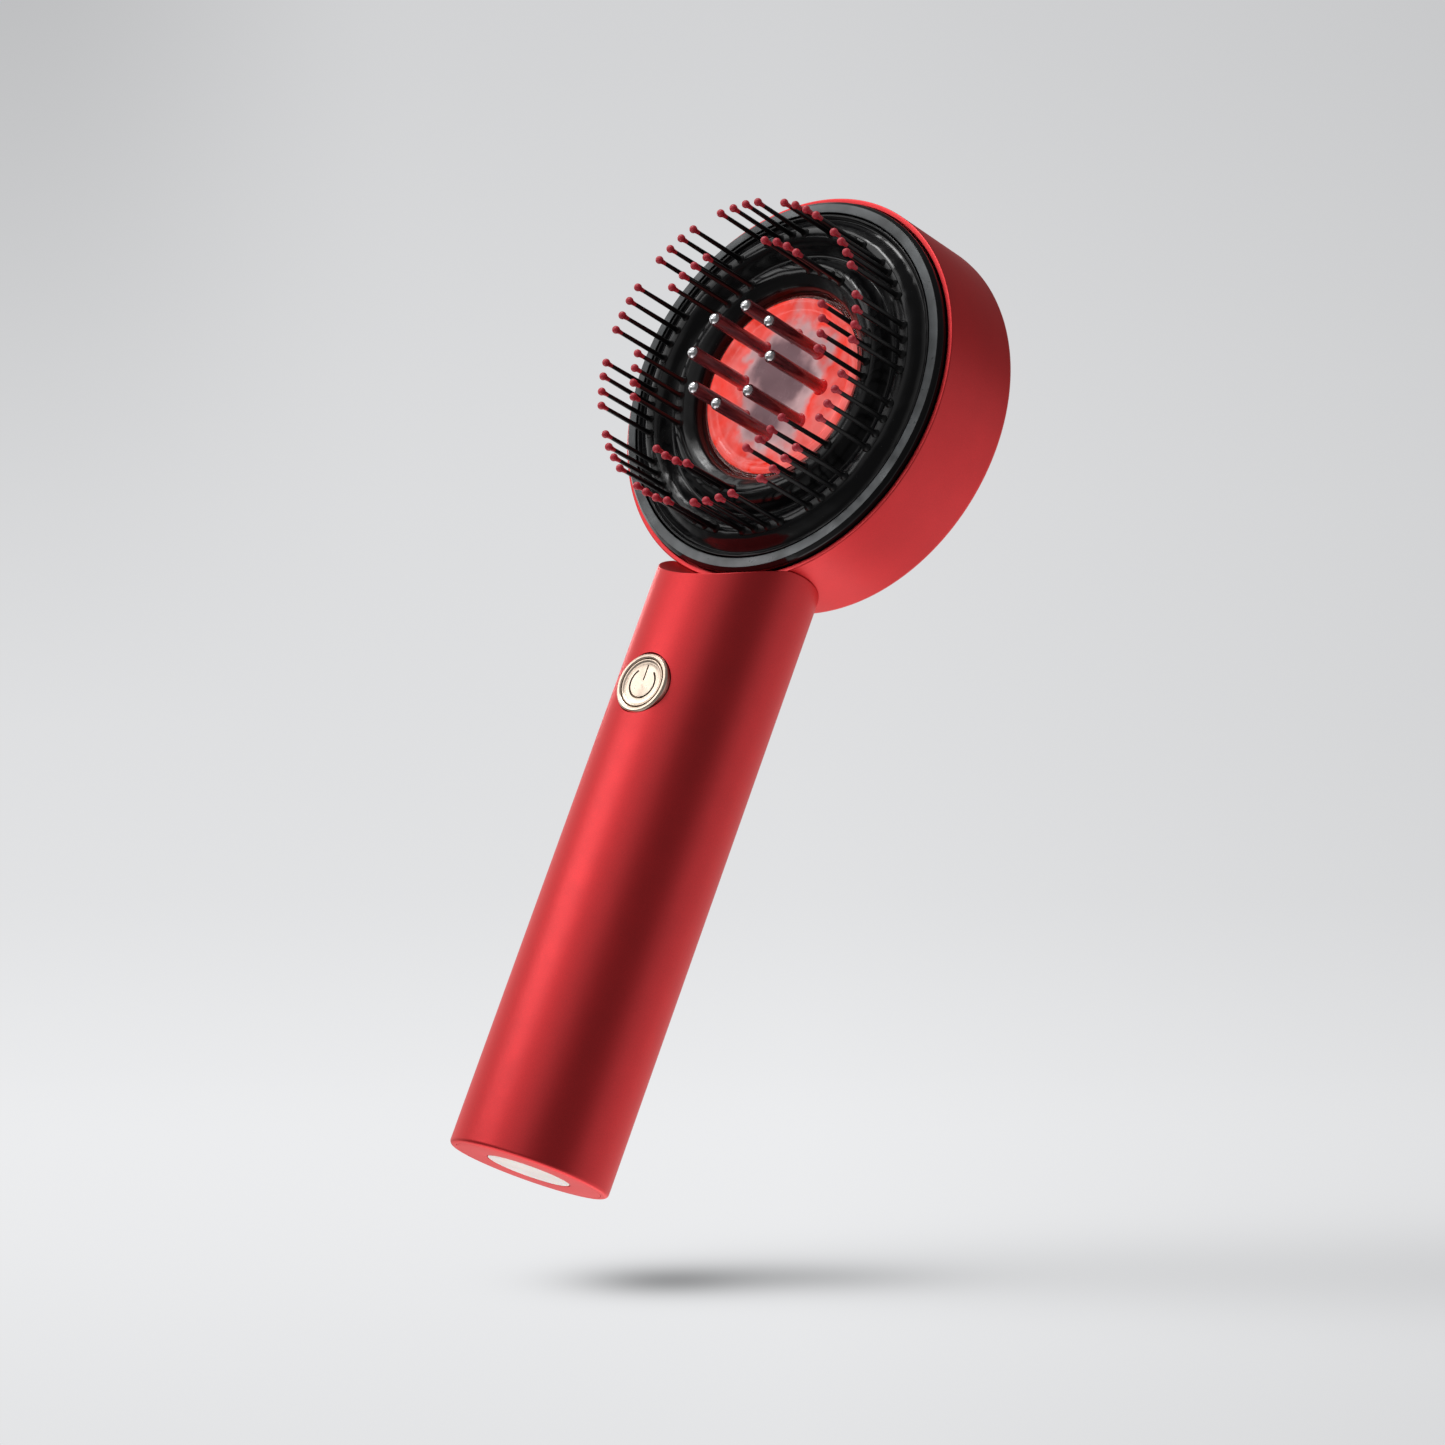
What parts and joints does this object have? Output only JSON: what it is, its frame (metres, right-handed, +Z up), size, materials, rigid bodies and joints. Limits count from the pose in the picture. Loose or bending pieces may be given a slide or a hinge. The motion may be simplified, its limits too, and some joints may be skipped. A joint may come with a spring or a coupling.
{
  "type": "electric scalp massage comb",
  "caption": "Electric scalp massage comb: round drum of ball-tipped bristles and roller-ball nozzles on a cylindrical handle with a power button.",
  "frame": {"origin": "centre of the handle's flat base, on the handle's axis", "axes": "+Z up the handle's axis, -Y the way the bristles face, +X to the right seen from the front"},
  "size_m": [0.08, 0.0442, 0.2014],
  "materials": {
    "red_shell": "satin metallic red",
    "bezel_grey": "satin dark grey",
    "gloss_black": "gloss black",
    "bristle_black": "black with red dipped tips",
    "champagne_gold": "anodised champagne gold",
    "ball_chrome": "polished",
    "lens_red": "clear red",
    "clear_cup": "clear",
    "pale_silicone": "pale, satin",
    "steel": "satin",
    "black_rubber": "matt",
    "natural_plastic": "matt",
    "board_green": "satin",
    "cell_blue": "shrink sleeve",
    "wire_red": "satin",
    "brass": "satin",
    "led_lens": "lit red",
    "diffuser_white": "opal"
  },
  "bodies": {
    "handle": {"handle_housing": "red_shell", "base_cap": "red_shell", "base_cap_seal": "black_rubber", "charging_socket": "steel", "charge_board": "board_green", "battery_carrier": "natural_plastic", "battery_cell": "cell_blue", "main_board": "board_green", "board_screw_1": "steel", "board_screw_2": "steel", "tact_switch": "steel", "button_bezel": "champagne_gold", "motor_case": "steel", "motor_clamp": "natural_plastic", "battery_lead": "wire_red", "neck_stud": "steel", "neck_nut": "steel", "head_lead": "wire_red", "head_shell": "red_shell", "bezel_ring": "bezel_grey", "head_chassis": "natural_plastic", "chassis_screw_1": "steel", "chassis_screw_2": "steel", "chassis_screw_3": "steel", "light_board": "board_green", "led_1": "led_lens", "led_2": "led_lens", "led_3": "led_lens", "led_4": "led_lens", "led_5": "led_lens", "led_6": "led_lens", "light_diffuser": "diffuser_white"},
    "power_button": {"power_button": "champagne_gold", "button_plunger": "black_rubber"},
    "brush_head": {"brush_plate": "gloss_black", "brush_base_ring": "black_rubber", "outer_bristle_ring": "bristle_black", "inner_bristle_ring": "bristle_black"},
    "applicator": {"reservoir_cup": "clear_cup", "reservoir_seal": "black_rubber", "nozzle_plate": "lens_red"},
    "port_cover": {"port_cover": "pale_silicone"},
    "motor_rotor": {"motor_shaft": "steel", "eccentric_weight": "brass"},
    "roller_1": {"roller_ball_1": "ball_chrome"},
    "roller_2": {"roller_ball_2": "ball_chrome"},
    "roller_3": {"roller_ball_3": "ball_chrome"},
    "roller_4": {"roller_ball_4": "ball_chrome"},
    "roller_5": {"roller_ball_5": "ball_chrome"},
    "roller_6": {"roller_ball_6": "ball_chrome"},
    "roller_7": {"roller_ball_7": "ball_chrome"},
    "roller_8": {"roller_ball_8": "ball_chrome"}
  },
  "joints": [
    {"name": "power_press", "type": "slide", "parent": "handle", "child": "power_button", "axis": [0, 1, 0], "range_m": [0, 0.0005], "stiffness_N_per_m": 1500, "springref_m": -0.0003},
    {"name": "brush_head_lift", "type": "slide", "parent": "handle", "child": "brush_head", "axis": [0, -0.9975, -0.071], "range_m": [0, 0.03]},
    {"name": "applicator_lift", "type": "slide", "parent": "handle", "child": "applicator", "axis": [0, -0.9975, -0.071], "range_m": [0, 0.03]},
    {"name": "port_cover_pull", "type": "slide", "parent": "handle", "child": "port_cover", "axis": [0, 0, -1], "range_m": [0, 0.012]},
    {"name": "motor_spin", "type": "hinge", "parent": "handle", "child": "motor_rotor", "pos_m": [0, 0.0034, 0.1], "axis": [0, 0, 1], "continuous": true},
    {"name": "roller_1_roll", "type": "hinge", "parent": "applicator", "child": "roller_1", "pos_m": [0.0101, -0.02269, 0.15899], "axis": [1, 0, 0], "continuous": true},
    {"name": "roller_2_roll", "type": "hinge", "parent": "applicator", "child": "roller_2", "pos_m": [0.00714, -0.0232, 0.16611], "axis": [1, 0, 0], "continuous": true},
    {"name": "roller_3_roll", "type": "hinge", "parent": "applicator", "child": "roller_3", "pos_m": [0, -0.02341, 0.16906], "axis": [1, 0, 0], "continuous": true},
    {"name": "roller_4_roll", "type": "hinge", "parent": "applicator", "child": "roller_4", "pos_m": [-0.00714, -0.0232, 0.16611], "axis": [1, 0, 0], "continuous": true},
    {"name": "roller_5_roll", "type": "hinge", "parent": "applicator", "child": "roller_5", "pos_m": [-0.0101, -0.02269, 0.15899], "axis": [1, 0, 0], "continuous": true},
    {"name": "roller_6_roll", "type": "hinge", "parent": "applicator", "child": "roller_6", "pos_m": [-0.00714, -0.02219, 0.15186], "axis": [1, 0, 0], "continuous": true},
    {"name": "roller_7_roll", "type": "hinge", "parent": "applicator", "child": "roller_7", "pos_m": [0, -0.02198, 0.14891], "axis": [1, 0, 0], "continuous": true},
    {"name": "roller_8_roll", "type": "hinge", "parent": "applicator", "child": "roller_8", "pos_m": [0.00714, -0.02219, 0.15186], "axis": [1, 0, 0], "continuous": true}
  ]
}
